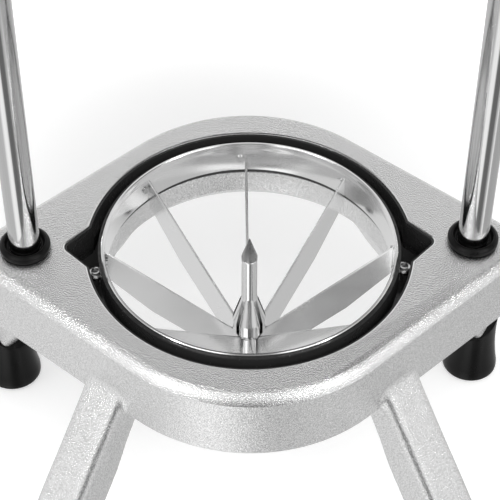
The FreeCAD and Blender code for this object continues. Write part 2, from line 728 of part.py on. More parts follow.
def build_carriage():
    """The sliding casting with its two sleeves, middle plate and handle bosses."""
    bar = box(
        "Crossbar",
        rod_offset * 2,
        S.bar_width,
        S.bar_height,
        -rod_offset,
        -S.bar_width / 2,
        plate_top,
    )
    saddle = cylinder("Saddle", S.saddle_radius, S.saddle_height, z=plate_top)
    boss_height = plate_top + S.bar_height / 2
    solids = [bar, saddle]
    tools = []
    for side_name, side in SIDES.items():
        x = rod_offset * side
        solids.append(
            cylinder(f"Sleeve{side_name}", S.sleeve_radius, S.sleeve_length, x, 0, sleeve_bottom)
        )
        boss = cylinder(f"Boss{side_name}", S.boss_radius, S.boss_length, x, 0, boss_height)
        solids.append(lying(boss, side))
        tools.append(
            cylinder(
                f"SleeveBore{side_name}",
                S.bushing_radius,
                S.sleeve_length + 2 * OVERCUT,
                x,
                0,
                sleeve_bottom - OVERCUT,
            )
        )
        start = (rod_offset + S.boss_length - S.handle_socket) * side
        socket = cylinder(
            f"Socket{side_name}", S.handle_radius, S.handle_socket + OVERCUT, start, 0, boss_height
        )
        tools.append(lying(socket, side))
    for n, (x, y) in enumerate(pusher_screw_places()):
        tools.append(
            cylinder(f"ScrewHole{n}", S.bolt_radius, S.saddle_height + 2 * OVERCUT, x, y, plate_top - OVERCUT)
        )
    keep(cut("CarriageCasting", fuse("CarriageBlank", *solids), *tools), "carriage_casting")
    for side_name, side in SIDES.items():
        build_bushings(side_name, rod_offset * side)
        build_handle(side_name, side, boss_height)
    nuts = []
    for side_name, side in SIDES.items():
        start = (rod_offset + S.boss_length) * side
        nut = doc.addObject("Part::Prism", f"JamHex{side_name}")
        nut.Polygon = 6
        bind(nut, Circumradius=S.jam_nut_across / math.sqrt(3), Height=S.jam_nut_height)
        lying(place(nut, start, 0, boss_height), side)
        hole = lying(
            cylinder(f"JamHole{side_name}", S.handle_radius, S.jam_nut_height, start, 0, boss_height), side
        )
        nuts.append(cut(f"JamNut{side_name}", nut, hole))
    keep(group("HandleNuts", nuts), "handle_nuts")


def build_bushings(side_name, x):
    """One plain bushing runs right through each sleeve."""
    inner = S.rod_radius + S.running_gap
    profile = [
        (inner, sleeve_bottom),
        (S.bushing_radius, sleeve_bottom),
        (S.bushing_radius, sleeve_top),
        (inner, sleeve_top),
    ]
    keep(turned(f"Bushing{side_name}", profile, x), f"bushing_{side_name}")


def build_handle(side_name, side, height):
    """A steel bar screwed into the carriage, with a moulded grip over it."""
    start = rod_offset + S.boss_length - S.handle_socket
    nut_face = S.handle_socket + S.jam_nut_height
    bar_end = nut_face + S.handle_grip_length - S.grip_end
    bar = lying(
        cylinder(f"HandleBar{side_name}", S.handle_radius, bar_end, start * side, 0, height), side
    )
    keep(bar, f"handle_bar_{side_name}")
    grip_length = S.handle_grip_length
    hollow = grip_length - S.grip_end
    profile = [
        (S.handle_radius, 0),
        (S.grip_collar, 0),
        (S.grip_collar, S.grip_guard),
        (S.grip_waist, S.grip_guard + S.grip_slope),
        (S.grip_radius, S.grip_belly),
        (S.grip_waist, grip_length - S.grip_tail),
        (S.grip_knob, grip_length - S.grip_knob_length),
        (S.grip_knob, grip_length - S.grip_knob_round),
        (S.grip_knob - S.grip_knob_round, grip_length),
        (0, grip_length),
        (0, hollow),
        (S.handle_radius, hollow),
    ]
    grip = turned(f"Grip{side_name}", profile)
    lying(place(grip, (start + nut_face) * side, 0, height), side)
    keep(grip, f"handle_grip_{side_name}")


def pusher_screw_places():
    return [(S.screw_circle_x * side, S.screw_circle_y * end) for side in (-1, 1) for end in (-1, 1)]


def build_pusher():
    """The pusher plate with its screws, and the eight fingers that pass the blades."""
    disc = cylinder("PusherDisc", pusher_radius, S.plate_thickness, z=plate_bottom)
    hole_length = S.plate_thickness + 2 * OVERCUT
    holes = [cylinder("CoreHole", S.pusher_core, hole_length, z=plate_bottom - OVERCUT)]
    screws = []
    for n, (x, y) in enumerate(pusher_screw_places()):
        low = plate_top - S.bolt_bite
        holes.append(cylinder(f"PlateHole{n}", S.bolt_radius, S.bolt_bite + OVERCUT, x, y, low))
        shank = cylinder(f"Shank{n}", S.bolt_radius, S.bolt_bite + S.saddle_height, x, y, low)
        head = cylinder(f"Head{n}", S.bolt_head, S.bolt_head_height, x, y, saddle_top)
        screws.append(fuse(f"PusherScrew{n}", shank, head))
    keep(cut("PusherPlate", disc, *holes), "pusher_plate")
    keep(group("PusherScrews", screws), "pusher_screws")
    rim = S.platform_top + S.travel - S.pusher_reach
    fingers = turned(
        "FingerBlank",
        [
            (S.pusher_core, rim - S.pusher_cone),
            (pusher_radius, rim),
            (pusher_radius, plate_bottom),
            (S.pusher_core, plate_bottom),
        ],
    )
    doc.recompute()
    half_angle = math.radians(PITCH / 2)
    apex = S.finger_gap.value / 2 / math.sin(half_angle)
    length = 2 * pusher_radius.value
    for n in range(BLADES):
        corners = [
            Vector(apex, 0, 0),
            Vector(apex + length * math.cos(half_angle), length * math.sin(half_angle), 0),
            Vector(apex + length * math.cos(half_angle), -length * math.sin(half_angle), 0),
        ]
        sector = Part.Face(Part.makePolygon(corners + corners[:1])).extrude(UP * plate_bottom.value)
        sector.rotate(Vector(), UP, (n + 0.5) * PITCH)
        shape = fingers.Shape.common(sector)
        keep(solid(f"Finger{n}", shape.Solids[0]), f"pusher_finger_{n + 1}")


def check_and_write():
    """Stop at any failed object or broken shape, then write one file for each node."""
    doc.recompute()
    failed = [item.Name for item in doc.Objects if {"Invalid", "Error"} & set(item.State)]
    if failed:
        raise RuntimeError(f"these objects did not build: {failed}")
    for node, item in nodes.items():
        shape = item.Shape
        if shape.isNull() or not shape.isValid() or not shape.Solids:
            raise RuntimeError(f"{node} has no valid solid")
    os.makedirs("parts", exist_ok=True)
    for node, item in nodes.items():
        item.Shape.exportStep(f"parts/{node}.step")
        size = item.Shape.BoundBox
        print(
            f"{node:22s} {len(item.Shape.Solids)} solids {item.Shape.Volume:10.1f} mm3 "
            f"x {size.XMin:7.1f} {size.XMax:7.1f} y {size.YMin:7.1f} {size.YMax:7.1f} "
            f"z {size.ZMin:7.1f} {size.ZMax:7.1f}"
        )


def main():
    fill_sheet()
    block = build_platform()
    build_liner()
    build_legs(block)
    build_feet()
    build_rods()
    build_cartridge()
    build_carriage()
    build_pusher()
    check_and_write()


main()
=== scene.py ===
"""Looks of the apple slicer wedger press, in metres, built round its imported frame.

The origin is on the floor under the middle of the cutting ring, +Z is up, the two guide rods
stand on the X axis and the user is at -Y.
"""

import json
import logging
import math
from dataclasses import dataclass, field
from enum import Enum

import bmesh
import bpy
from mathutils import Matrix, Vector

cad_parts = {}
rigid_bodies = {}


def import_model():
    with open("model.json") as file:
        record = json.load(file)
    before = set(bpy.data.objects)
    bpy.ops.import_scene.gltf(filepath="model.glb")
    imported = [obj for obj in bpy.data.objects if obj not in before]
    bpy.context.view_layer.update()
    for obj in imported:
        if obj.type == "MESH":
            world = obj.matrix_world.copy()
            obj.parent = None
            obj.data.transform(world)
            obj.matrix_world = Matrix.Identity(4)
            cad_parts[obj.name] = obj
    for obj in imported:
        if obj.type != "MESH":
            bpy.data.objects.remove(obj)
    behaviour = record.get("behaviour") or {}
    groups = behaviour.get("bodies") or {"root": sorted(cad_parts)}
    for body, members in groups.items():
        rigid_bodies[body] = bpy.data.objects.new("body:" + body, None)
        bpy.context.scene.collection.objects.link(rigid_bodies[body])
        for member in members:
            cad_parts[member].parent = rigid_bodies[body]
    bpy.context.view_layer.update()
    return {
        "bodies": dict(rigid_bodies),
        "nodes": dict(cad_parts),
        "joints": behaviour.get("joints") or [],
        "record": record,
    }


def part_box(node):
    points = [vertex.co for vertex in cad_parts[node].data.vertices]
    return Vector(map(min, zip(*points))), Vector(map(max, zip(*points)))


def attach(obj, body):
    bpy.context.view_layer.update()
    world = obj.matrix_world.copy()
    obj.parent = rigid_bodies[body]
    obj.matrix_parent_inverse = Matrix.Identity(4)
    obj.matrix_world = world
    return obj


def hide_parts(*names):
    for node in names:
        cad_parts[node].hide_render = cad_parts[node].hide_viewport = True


LOG = logging.getLogger("apple_press")
MM = 0.001
UP = Vector((0, 0, 1))
SIDES = {"left": -1, "right": 1}
CORNERS = {"front_left": (-1, -1), "front_right": (1, -1), "rear_left": (-1, 1), "rear_right": (1, 1)}
BLADES = ("right", "rear_right", "rear", "rear_left", "left", "front_left", "front", "front_right")
PITCH = math.tau / len(BLADES)

Outline = list[tuple[float, float]]


class Body(Enum):
    """The bodies that the joints move."""

    STAND = "stand"
    CARTRIDGE = "cartridge"
    CARRIAGE = "carriage"


class Slot(Enum):
    """The finishes that the record names."""

    CAST = "cast_aluminium"
    MACHINED = "machined_edge"
    ROD = "polished_steel"
    STAINLESS = "stainless_steel"
    BLADE = "blade_steel"
    POINT = "dark_steel"
    PLATED = "zinc_steel"
    RUBBER = "black_rubber"
    GRIP = "grip_rubber"
    LACQUER = "black_plastic"
    BEARING = "bearing_plastic"
    PUSHER = "pusher_plastic"


class Value:
    """A socket of a shader tree, on which sums are written as Python expressions."""

    def __init__(self, tree: bpy.types.NodeTree, socket: bpy.types.NodeSocket) -> None:
        """Wrap a socket.

        Args:
            tree: The tree that the socket belongs to.
            socket: The output that holds the value.
        """
        self.tree = tree
        self.socket = socket

    def _math(self, operation: str, *terms: "Value | float") -> "Value":
        """Add one Math node.

        Args:
            operation: The node's operation.
            terms: The values that go into it, in order.

        Returns:
            The node's result.
        """
        node = self.tree.nodes.new("ShaderNodeMath")
        node.operation = operation
        for place, term in enumerate(terms):
            if isinstance(term, Value):
                self.tree.links.new(term.socket, node.inputs[place])
            else:
                node.inputs[place].default_value = term
        return Value(self.tree, node.outputs[0])

    def __add__(self, other: "Value | float") -> "Value":
        """Return the sum."""
        return self._math("ADD", self, other)

    __radd__ = __add__

    def __sub__(self, other: "Value | float") -> "Value":
        """Return the difference."""
        return self._math("SUBTRACT", self, other)

    def __rsub__(self, other: float) -> "Value":
        """Return a number less this value."""
        return self._math("SUBTRACT", other, self)

    def __mul__(self, other: "Value | float") -> "Value":
        """Return the product."""
        return self._math("MULTIPLY", self, other)

    __rmul__ = __mul__

    def above(self, low: float, high: float) -> "Value":
        """Map this value to a straight ramp.

        Args:
            low: Where the ramp is 0.
            high: Where it is 1.

        Returns:
            The ramp, which is flat outside the two.
        """
        node = self.tree.nodes.new("ShaderNodeMapRange")
        self.tree.links.new(self.socket, node.inputs["Value"])
        node.inputs["From Min"].default_value = low
        node.inputs["From Max"].default_value = high
        return Value(self.tree, node.outputs["Result"])

    def eased(self, low: float, high: float) -> "Value":
        """Map this value to a smooth step.

        Args:
            low: Where the step is 0.
            high: Where it is 1.

        Returns:
            The step, which is flat outside the two.
        """
        step = self.above(low, high)
        step.socket.node.interpolation_type = "SMOOTHSTEP"
        return step


class Recipe:
    """A material under construction: a Principled shader and the nodes that feed it."""

    def __init__(self, name: str) -> None:
        """Start a material with nothing but its shader.

        Args:
            name: The material's name.
        """
        self.material = bpy.data.materials.new(name)
        self.material.use_nodes = True
        self.tree = self.material.node_tree
        self.tree.nodes.clear()
        self.shader = self.tree.nodes.new("ShaderNodeBsdfPrincipled")
        output = self.tree.nodes.new("ShaderNodeOutputMaterial")
        self.tree.links.new(self.shader.outputs["BSDF"], output.inputs["Surface"])
        self.coordinates = self.tree.nodes.new("ShaderNodeTexCoord").outputs["Object"]

    def node(self, kind: str, settings: dict | None = None, **sockets: object) -> bpy.types.Node:
        """Add any node.

        Args:
            kind: The node's type.
            settings: Properties of the node, set before its sockets.
            sockets: A value, Value or output for each input, with _ for a space in its name.

        Returns:
            The new node.
        """
        node = self.tree.nodes.new(kind)
        for key, value in (settings or {}).items():
            setattr(node, key, value)
        for key, value in sockets.items():
            self.feed(node, key.replace("_", " "), value)
        return node

    def feed(self, node: bpy.types.Node, name: str, value: object) -> None:
        """Set or link one input of a node.

        Args:
            node: The node.
            name: The input's name.
            value: A plain value, a Value or an output.
        """
        if isinstance(value, Value):
            self.tree.links.new(value.socket, node.inputs[name])
        elif isinstance(value, bpy.types.NodeSocket):
            self.tree.links.new(value, node.inputs[name])
        else:
            node.inputs[name].default_value = value

    def principled(self, **sockets: object) -> None:
        """Set or link inputs of the Principled shader, with _ for a space in their names."""
        for key, value in sockets.items():
            self.feed(self.shader, key.replace("_", " "), value)

    def noise(self, grain: float, detail: float = 2.0, stretch: tuple = (1, 1, 1)) -> Value:
        """Return noise in the object's own space.

        Args:
            grain: Size of a grain in metres.
            detail: Octaves of finer noise.
            stretch: How much the pattern is squeezed along X, Y and Z.

        Returns:
            The noise, from 0 to 1.
        """
        place = self.coordinates
        if stretch != (1, 1, 1):
            mapping = self.node("ShaderNodeMapping", Vector=place)
            mapping.inputs["Scale"].default_value = stretch
            place = mapping.outputs["Vector"]
        noise = self.node("ShaderNodeTexNoise", Vector=place, Scale=1 / grain, Detail=detail)
        return Value(self.tree, noise.outputs["Fac"])

    def tone(self, dark: tuple, light: tuple, share: Value) -> bpy.types.NodeSocket:
        """Mix two colours.

        Args:
            dark: The colour at share 0.
            light: The colour at share 1.
            share: How much of the light colour there is.

        Returns:
            The mixed colour.
        """
        mix = self.node("ShaderNodeMix", {"data_type": "RGBA"})
        self.tree.links.new(share.socket, mix.inputs["Factor"])
        mix.inputs[6].default_value = (*dark, 1)
        mix.inputs[7].default_value = (*light, 1)
        return mix.outputs[2]

    def relief(self, height: Value, depth: float, strength: float = 1.0) -> None:
        """Lay a bump of a height map over the reliefs already there.

        Args:
            height: The height, from 0 to 1.
            depth: Its depth in metres.
            strength: Strength of the bump.
        """
        bump = self.node("ShaderNodeBump", Height=height, Distance=depth, Strength=strength)
        links = self.shader.inputs["Normal"].links
        if links:
            self.tree.links.new(links[0].from_socket, bump.inputs["Normal"])
        self.tree.links.new(bump.outputs["Normal"], self.shader.inputs["Normal"])


def grey(level: float) -> tuple[float, float, float]:
    """Return a neutral colour."""
    return (level, level, level)


@dataclass(frozen=True)
class BlastedCasting:
    """Bead-blasted aluminium with a bumped grain, and painted sparkle: dark specks in its colour
    stand in for the grain's glints and shade.
    """

    name: str = "blasted_casting"
    light: float = 0.98
    dark: float = 0.64
    roughness: float = 0.15
    pit_roughness: float = 0.1
    grain: float = 0.5 * MM
    depth: float = 0.2 * MM
    # Painted sparkle: the range of the fine noise that turns dark, how dark it turns, and how much
    # more a slow cloud darkens it.
    painted_sparkle_range: tuple[float, float] = (0.4, 0.58)
    painted_sparkle_share: float = 0.35
    painted_sparkle_cloud_share: float = 0.5
    cloud: float = 45 * MM

    def make(self) -> bpy.types.Material:
        """Mix the finish.

        Returns:
            The material.
        """
        recipe = Recipe(self.name)
        fine = recipe.noise(self.grain, 3)
        cloud = recipe.noise(self.cloud, 2)
        # Painted sparkle: the colour darkens where the fine noise is low, standing in for the glints
        # and shade of the grain.
        painted_sparkle_specks = 1 - fine.above(*self.painted_sparkle_range)
        share = 1 - painted_sparkle_specks * (self.painted_sparkle_share + self.painted_sparkle_cloud_share * cloud)
        recipe.principled(
            Metallic=1.0,
            Base_Color=recipe.tone(grey(self.dark), grey(self.light), share),
            Roughness=self.roughness + self.pit_roughness * (1 - fine),
        )
        recipe.relief(fine, self.depth)
        return recipe.material


@dataclass(frozen=True)
class Metal:
    """A machined, rolled or ground metal with fine lines along one direction."""

    name: str
    level: float
    roughness: float
    lines: tuple[float, float, float] = (1, 1, 1)
    line_width: float = 0.4 * MM
    line_depth: float = 0.004 * MM
    line_shade: float = 0.86
    line_roughness: float = 0.05
    line_strength: float = 0.5
    smudge: float = 0.1
    cloud: float = 14 * MM

    def make(self) -> bpy.types.Material:
        """Mix the finish.

        Returns:
            The material.
        """
        recipe = Recipe(self.name)
        lines = recipe.noise(self.line_width, 3, self.lines)
        cloud = recipe.noise(self.cloud, 3)
        smudge = self.smudge * (cloud - 0.5)
        recipe.principled(
            Metallic=1.0,
            Base_Color=recipe.tone(grey(self.level * self.line_shade), grey(self.level), lines),
            Roughness=self.roughness + smudge + self.line_roughness * lines,
        )
        recipe.relief(lines, self.line_depth, self.line_strength)
        return recipe.material


@dataclass(frozen=True)
class Moulded:
    """Rubber, lacquer or plastic with a fine skin and a few worn places."""

    name: str
    level: float
    roughness: float
    grain: float = 0.5 * MM
    depth: float = 0.03 * MM
    shine: float = 0.5
    dust: float = 0.05
    wave: float = 0.0
    wave_length: float = 2.4 * MM
    wave_strength: float = 0.7
    grain_strength: float = 0.6
    cloud: float = 9 * MM
    cloud_roughness: float = 0.2
    speck: float = 0.9 * MM
    speck_range: tuple[float, float] = (0.72, 0.8)

    def make(self) -> bpy.types.Material:
        """Mix the finish.

        Returns:
            The material.
        """
        recipe = Recipe(self.name)
        fine = recipe.noise(self.grain, 3)
        cloud = recipe.noise(self.cloud, 3)
        specks = recipe.noise(self.speck, 1).above(*self.speck_range)
        worn = grey(self.level + self.dust)
        recipe.principled(
            Base_Color=recipe.tone(grey(self.level), worn, specks * cloud),
            Roughness=self.roughness + self.cloud_roughness * (cloud - 0.5),
            Specular_IOR_Level=self.shine,
        )
        if self.wave:
            recipe.relief(recipe.noise(self.wave_length, 1), self.wave, self.wave_strength)
        recipe.relief(fine, self.depth, self.grain_strength)
        return recipe.material


FINISHES = {
    Slot.CAST: BlastedCasting(),
    Slot.MACHINED: Metal("machined_edge", 0.95, 0.2, line_width=0.3 * MM),
    Slot.ROD: Metal(
        "ground_bar", 0.66, 0.1, (1, 1, 0.01), line_width=0.5 * MM, line_depth=0.012 * MM, smudge=0.03
    ),
    Slot.STAINLESS: Metal("rolled_stainless", 0.88, 0.09, (1, 1, 12), smudge=0.05),
    Slot.BLADE: Metal("satin_blade", 0.97, 0.22, smudge=0.12),
    Slot.POINT: Metal("dark_point", 0.4, 0.25, (1, 1, 0.05)),
    Slot.PLATED: Metal("plated_fastener", 0.7, 0.16),
    Slot.RUBBER: Moulded("black_rubber", 0.004, 0.3, shine=0.16, dust=0.01),
    Slot.GRIP: Moulded("grip_rubber", 0.02, 0.5, shine=0.35),
    Slot.LACQUER: Moulded(
        "black_lacquer", 0.024, 0.15, 0.8 * MM, 0.05 * MM, shine=0.4, dust=0.1, wave=0.3 * MM
    ),
    Slot.BEARING: Moulded("bearing_plastic", 0.72, 0.45),
    Slot.PUSHER: Moulded("pusher_plastic", 0.03, 0.4),
}


class Paintbox:
    """Makes each finish once and lays it on pieces."""

    def __init__(self) -> None:
        """Start with nothing made."""
        self.made: dict[Slot, bpy.types.Material] = {}

    def material(self, slot: Slot) -> bpy.types.Material:
        """Give a slot's material, which is made at its first use.

        Args:
            slot: The slot.

        Returns:
            Its material.
        """
        if slot not in self.made:
            self.made[slot] = FINISHES[slot].make()
        return self.made[slot]

    def paint(self, piece: bpy.types.Object, slot: Slot) -> None:
        """Give a piece one finish all over."""
        piece.data.materials.clear()
        piece.data.materials.append(self.material(slot))


class Bench:
    """The tools with which a new piece is modelled."""

    doubles: float = 0.002 * MM
    turned_doubles: float = 0.001 * MM
    flat: float = math.radians(0.5)

    def __init__(self, frame: dict, paintbox: Paintbox) -> None:
        """Keep the frame and the paints at hand."""
        self.nodes = frame["nodes"]
        self.paintbox = paintbox

    @staticmethod
    def take(piece: bpy.types.Object) -> None:
        """Select one piece alone.

        Args:
            piece: The piece.
        """
        if bpy.context.object and bpy.context.object.mode != "OBJECT":
            bpy.ops.object.mode_set(mode="OBJECT")
        bpy.ops.object.select_all(action="DESELECT")
        piece.select_set(True)
        bpy.context.view_layer.objects.active = piece

    def started(self, name: str) -> bpy.types.Object:
        """Name the primitive that was just added.

        Args:
            name: The piece's name.

        Returns:
            The piece.
        """
        piece = bpy.context.object
        piece.name = name
        piece.data.name = name
        return piece

    def settle(self, piece: bpy.types.Object) -> None:
        """Move a piece's place into its mesh."""
        self.take(piece)
        bpy.ops.object.transform_apply(location=True, rotation=True, scale=True)

    def edit(self, piece: bpy.types.Object) -> None:
        """Open a piece in edit mode.

        Args:
            piece: The piece.
        """
        self.take(piece)
        bpy.ops.object.mode_set(mode="EDIT")
        bpy.ops.mesh.select_all(action="SELECT")

    def close(self) -> None:
        """Leave edit mode."""
        bpy.ops.object.mode_set(mode="OBJECT")

    def modify(self, piece: bpy.types.Object, kind: str, **settings: object) -> None:
        """Add a modifier to a piece and apply it.

        Args:
            piece: The piece.
            kind: The modifier's type.
            settings: Its properties.
        """
        self.take(piece)
        modifier = piece.modifiers.new(kind.lower(), kind)
        for key, value in settings.items():
            setattr(modifier, key, value)
        bpy.ops.object.modifier_apply(modifier=modifier.name)

    def soften(
        self, piece: bpy.types.Object, width: float, segments: int = 3, angle: float = 30
    ) -> None:
        """Round the sharp edges of a piece.

        Args:
            piece: The piece.
            width: Width of the rounding.
            segments: Faces across it.
            angle: An edge that turns by more than this, in degrees, is rounded.
        """
        self.modify(
            piece,
            "BEVEL",
            width=width,
            segments=segments,
            limit_method="ANGLE",
            angle_limit=math.radians(angle),
            use_clamp_overlap=True,
        )

    def shade(self, piece: bpy.types.Object, angle: float) -> None:
        """Shade a piece smooth, apart from edges that turn by more than an angle in degrees."""
        self.take(piece)
        bpy.ops.object.shade_smooth_by_angle(angle=math.radians(angle))

    def sliced(self, piece: bpy.types.Object, place: Vector, away: Vector) -> bpy.types.Object:
        """Cut a piece along a plane and close it.

        Args:
            piece: The piece.
            place: A point of the plane.
            away: The side that is thrown away.

        Returns:
            The piece.
        """
        self.edit(piece)
        bpy.ops.mesh.bisect(plane_co=place, plane_no=away, use_fill=True, clear_outer=True)
        self.close()
        return piece

    def copied(self, node: str, name: str) -> bpy.types.Object:
        """Copy a frame node's mesh into a new piece, with its doubles merged.

        Args:
            node: The frame node.
            name: The new piece's name.

        Returns:
            The new piece.
        """
        source = self.nodes[node]
        piece = bpy.data.objects.new(name, source.data.copy())
        bpy.context.scene.collection.objects.link(piece)
        self.edit(piece)
        bpy.ops.mesh.customdata_custom_splitnormals_clear()
        bpy.ops.mesh.remove_doubles(threshold=self.doubles)
        self.close()
        return piece

    def tidied(self, node: str, name: str) -> bpy.types.Object:
        """Copy a frame node and join its triangles into flat faces.

        Args:
            node: The frame node.
            name: The new piece's name.

        Returns:
            The new piece.
        """
        piece = self.copied(node, name)
        self.edit(piece)
        bpy.ops.mesh.dissolve_limited(angle_limit=self.flat)
        self.close()
        return piece

    def turned(
        self, name: str, profile: Outline, centre: tuple = (0, 0), steps: int = 96
    ) -> bpy.types.Object:
        """Turn a profile about an upright axis, as a circle extruded from point to point.

        Args:
            name: The piece's name.
            profile: Points of (radius, height). A closed profile repeats its first point.
            centre: Place of the axis.
            steps: Faces round the axis.

        Returns:
            The turned piece.
        """
        bpy.ops.object.select_all(action="DESELECT")
        radius, height = profile[0]
        bpy.ops.mesh.primitive_circle_add(
            vertices=steps, radius=radius, location=(*centre, height)
        )
        piece = self.started(name)
        self.settle(piece)
        self.edit(piece)
        for next_radius, next_height in profile[1:]:
            bpy.ops.mesh.extrude_region_move(
                TRANSFORM_OT_translate={"value": (0, 0, next_height - height)}
            )
            factor = next_radius / radius
            bpy.ops.transform.resize(
                value=(factor, factor, 1), center_override=(*centre, next_height)
            )
            radius, height = next_radius, next_height
        bpy.ops.mesh.select_all(action="SELECT")
        bpy.ops.mesh.remove_doubles(threshold=self.turned_doubles)
        bpy.ops.mesh.select_all(action="DESELECT")
        bpy.ops.mesh.select_mode(type="EDGE")
        bpy.ops.mesh.select_non_manifold()
        bpy.ops.mesh.edge_face_add()
        bpy.ops.mesh.select_mode(type="VERT")
        bpy.ops.mesh.select_all(action="SELECT")
        bpy.ops.mesh.normals_make_consistent(inside=False)
        self.close()
        return piece

    def finish(self, piece: bpy.types.Object, slot: Slot, body: Body, *nodes: str) -> None:
        """Paint a piece, attach it to its body, say what it rides on, and hide the frame nodes that
        it replaces.

        Args:
            piece: The finished piece.
            slot: Its finish.
            body: The body that it moves with.
            nodes: The frame nodes that it replaces.
        """
        self.paintbox.paint(piece, slot)
        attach(piece, body.value)
        if nodes:
            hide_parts(*nodes)
        LOG.info("%s rides on %s", piece.name, body.value)

    def keep(self, slot: Slot, *nodes: str) -> None:
        """Dress frame nodes whose shape is right as it is.

        Args:
            slot: Their finish.
            nodes: Their names.
        """
        for node in nodes:
            self.paintbox.paint(self.nodes[node], slot)
            LOG.info("%s keeps its shape", node)


@dataclass
class Platform:
    """The cast platform and its four splayed legs."""

    edge: float = 0.9 * MM
    edge_reach: float = 1.1
    edge_angle: float = 50
    shade_angle: float = 16
    seat_reach: float = 65 * MM
    ear_reach: float = 73.5 * MM
    ear_width: float = 19 * MM
    rod_offset: float = 86 * MM
    rod_clear: float = 12 * MM
    rim_round: float = 4.0 * MM
    rim_start: float = math.radians(27)
    rim_range: tuple[float, float] = (0.02, 0.999)
    least_outward: float = 0.02
    level: float = 0.985
    leg_width: float = 19.4 * MM
    leg_thickness: float = 19.6 * MM
    leg_round: float = 3.2 * MM
    leg_top: tuple[float, float] = (51.4 * MM, 46.2 * MM)
    foot_place: tuple[float, float] = (118 * MM, 117.2 * MM)
    foot_height: float = 36 * MM
    hidden_bar: float = 26 * MM
    bar_cover: float = 12 * MM
    bore_clear: float = 61 * MM
    root_relief: float = 4.5 * MM
    relief_length: float = 60 * MM
    chunk_from: tuple[float, float] = (24 * MM, 12 * MM)
    chunk_below: float = 1.5 * MM
    sink: float = 0.15 * MM
    voxel: float = 0.8 * MM
    skin_rounds: int = 3
    fillet_rounds: int = 26
    fillet_start: float = 150 * MM
    fillet_fade: float = 12 * MM
    underside: float = field(init=False)
    top: float = field(init=False)

    def __post_init__(self) -> None:
        """Read the casting's heights from the frame."""
        low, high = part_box("platform_casting")
        self.underside, self.top = low.z, high.z

    def build(self, bench: Bench) -> None:
        """Model the platform and the legs.

        Args:
            bench: The modelling tools.
        """
        self.casting(bench)
        for name, corner in CORNERS.items():
            leg = self.leg(bench, f"cast_leg_{name}", corner)
            bench.finish(leg, Slot.CAST, Body.STAND, f"leg_{name}")

    def casting(self, bench: Bench) -> None:
        """Model the platform, with the machined edge round its seat.

        Args:
            bench: The modelling tools.
        """
        platform = bench.tidied("platform_casting", "cast_platform")
        self.flatten_rim(platform)
        bench.soften(platform, self.edge, segments=2, angle=self.edge_angle)
        bench.shade(platform, self.shade_angle)
        bench.finish(platform, Slot.CAST, Body.STAND, "platform_casting")
        platform.data.materials.append(bench.paintbox.material(Slot.MACHINED))
        for face in platform.data.polygons:
            face.material_index = int(self.is_seat_edge(face))

    def flatten_rim(self, platform: bpy.types.Object) -> None:
        """Make the round rim a flatter arc, which meets the top and the skirt in crisp lines.

        Args:
            platform: The platform, whose rim is a quarter of a circle.
        """
        quarter = math.pi / 2
        spread = quarter - 2 * self.rim_start
        radius = self.rim_round / (math.sqrt(2) * math.sin(spread / 2))
        inset = radius * math.sin(self.rim_start)
        drop = radius * math.cos(self.rim_start) - self.rim_round
        base = self.top - self.rim_round
        shape = bmesh.new()
        shape.from_mesh(platform.data)
        shape.normal_update()
        for vertex in shape.verts:
            rise = (vertex.co.z - base) / self.rim_round
            outward = Vector((vertex.normal.x, vertex.normal.y, 0))
            if not self.is_rim(vertex.co, rise) or outward.length < self.least_outward:
                continue
            turn = math.acos(rise)
            flat = self.rim_start + spread * turn / quarter
            shift = radius * math.sin(flat) - inset - self.rim_round * math.sin(turn)
            vertex.co += outward.normalized() * shift
            vertex.co.z = base + radius * math.cos(flat) - drop
        shape.to_mesh(platform.data)
        shape.free()

    def is_rim(self, place: Vector, rise: float) -> bool:
        """Tell whether a point belongs to the rim, and not to the seat or a rod's bore.

        Args:
            place: The point.
            rise: Its height above the rim's foot, as a share of the rim's radius.

        Returns:
            Whether the point is moved when the rim is flattened.
        """
        low, high = self.rim_range
        from_rod = math.hypot(abs(place.x) - self.rod_offset, place.y)
        return low < rise < high and from_rod >= self.rod_clear and not self.near_seat(place)

    def near_seat(self, place: Vector) -> bool:
        """Tell whether a point is at the edge of the seat or of its ears."""
        round_seat = math.hypot(place.x, place.y) < self.seat_reach
        return round_seat or (abs(place.x) < self.ear_reach and abs(place.y) < self.ear_width)

    def is_seat_edge(self, face: bpy.types.MeshPolygon) -> bool:
        """Tell whether a face belongs to the machined edge of the seat and its ears."""
        high = face.center.z > self.top - self.edge * self.edge_reach
        return high and abs(face.normal.z) < self.level and self.near_seat(face.center)

    def axis(self, corner: tuple[int, int]) -> tuple[Vector, Vector]:
        """Lay out a leg's axis.

        Args:
            corner: The signs of the leg's X and Y.

        Returns:
            Its lower and upper points.
        """
        side, end = corner
        foot = Vector((side * self.foot_place[0], end * self.foot_place[1], self.foot_height))
        top = Vector((side * self.leg_top[0], end * self.leg_top[1], self.underside))
        return foot, top

    def leg(self, bench: Bench, name: str, corner: tuple[int, int]) -> bpy.types.Object:
        """Model one leg, with the blend that joins it to the skirt.

        The blend comes from a chunk of the platform that lies just under its surface: leg and
        chunk are made one skin, and that skin is smoothed where they meet.

        Args:
            bench: The modelling tools.
            name: The leg's name.
            corner: The signs of the leg's X and Y.

        Returns:
            The leg.
        """
        bar = self.bar(bench, name, *self.axis(corner))
        chunk = self.chunk(bench, corner)
        bench.take(bar)
        chunk.select_set(True)
        bpy.ops.object.join()
        bench.modify(bar, "REMESH", mode="VOXEL", voxel_size=self.voxel)
        root = bar.vertex_groups.new(name="root")
        for vertex in bar.data.vertices:
            share = (vertex.co.z - self.fillet_start) / self.fillet_fade
            if share > 0:
                root.add([vertex.index], min(share, 1.0), "REPLACE")
        bench.modify(bar, "SMOOTH", factor=0.5, iterations=self.skin_rounds)
        bench.modify(
            bar, "SMOOTH", factor=0.5, iterations=self.fillet_rounds, vertex_group="root"
        )
        bench.shade(bar, 60)
        return bar

